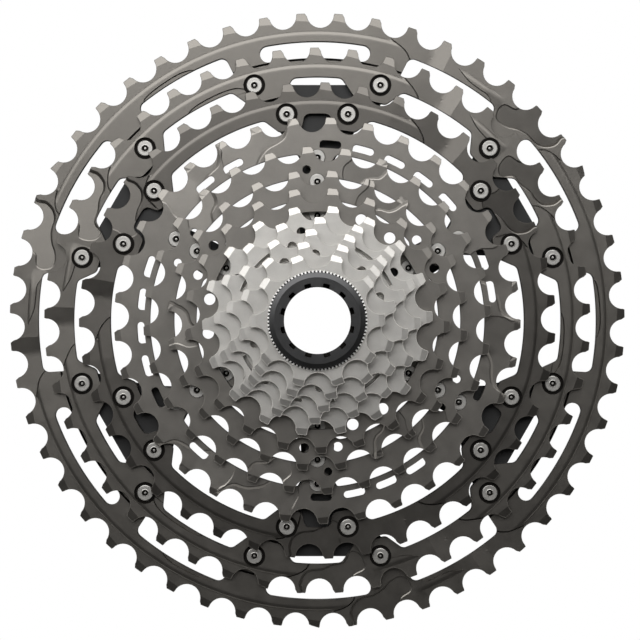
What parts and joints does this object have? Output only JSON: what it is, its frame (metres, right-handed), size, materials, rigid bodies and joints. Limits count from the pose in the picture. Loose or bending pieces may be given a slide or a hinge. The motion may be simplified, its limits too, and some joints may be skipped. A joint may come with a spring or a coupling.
{
  "type": "bicycle cassette sprocket",
  "caption": "Stepped bicycle cassette: a cone of toothed sprockets riveted to armed spiders, with loose small sprockets, spacers and a screwed lock ring.",
  "frame": {"origin": "on the bore axis, in the flat back plane of the largest sprocket and the outer spider's hub", "axes": "+Z along the bore axis from the wheel side to the smallest sprocket and the lock ring; +X through a window between two spider arms"},
  "size_m": [0.2085, 0.2085, 0.0446],
  "materials": {
    "dark_alloy": "bead blasted and hard anodised, warm dark grey",
    "titanium": "blasted titanium, warm grey",
    "plated_steel": "satin nickel plate",
    "spacer_alloy": "black anodised",
    "black_alloy": "black anodised, satin",
    "rivet_steel": "satin stainless",
    "charcoal_alloy": "charcoal anodised, turned",
    "washer_steel": "bright serrated edge"
  },
  "bodies": {
    "cassette": {"sprocket_51t": "dark_alloy", "sprocket_45t": "dark_alloy", "sprocket_39t": "dark_alloy", "sprocket_33t": "titanium", "sprocket_28t": "titanium", "sprocket_24t": "titanium", "sprocket_21t": "titanium", "sprocket_18t": "plated_steel", "sprocket_16t": "plated_steel", "sprocket_14t": "plated_steel", "sprocket_12t": "plated_steel", "sprocket_10t": "plated_steel", "spacer_21_18": "spacer_alloy", "spacer_18_16": "spacer_alloy", "spacer_16_14": "spacer_alloy", "spacer_14_12": "spacer_alloy", "outer_spider": "black_alloy", "inner_spider": "black_alloy", "rivets_51t_45t": "rivet_steel", "rivets_39t": "rivet_steel", "rivets_33t": "rivet_steel", "rivets_28t": "rivet_steel", "rivets_24t": "rivet_steel"},
    "lock_washer": {"lock_washer": "washer_steel"},
    "lock_ring": {"lock_ring": "charcoal_alloy"}
  },
  "joints": [
    {"name": "lock_ring_lift", "type": "slide", "parent": "cassette", "child": "lock_washer", "axis": [0, 0, 1], "range_m": [0, 0.006]},
    {"name": "lock_ring_turn", "type": "hinge", "parent": "lock_washer", "child": "lock_ring", "pos_m": [0, 0, 0], "axis": [0, 0, 1], "range_deg": [0, 2160]}
  ],
  "couplings": [
    {"joint": "lock_ring_lift", "follows": "lock_ring_turn", "m_per_rad": 0.00015915}
  ]
}
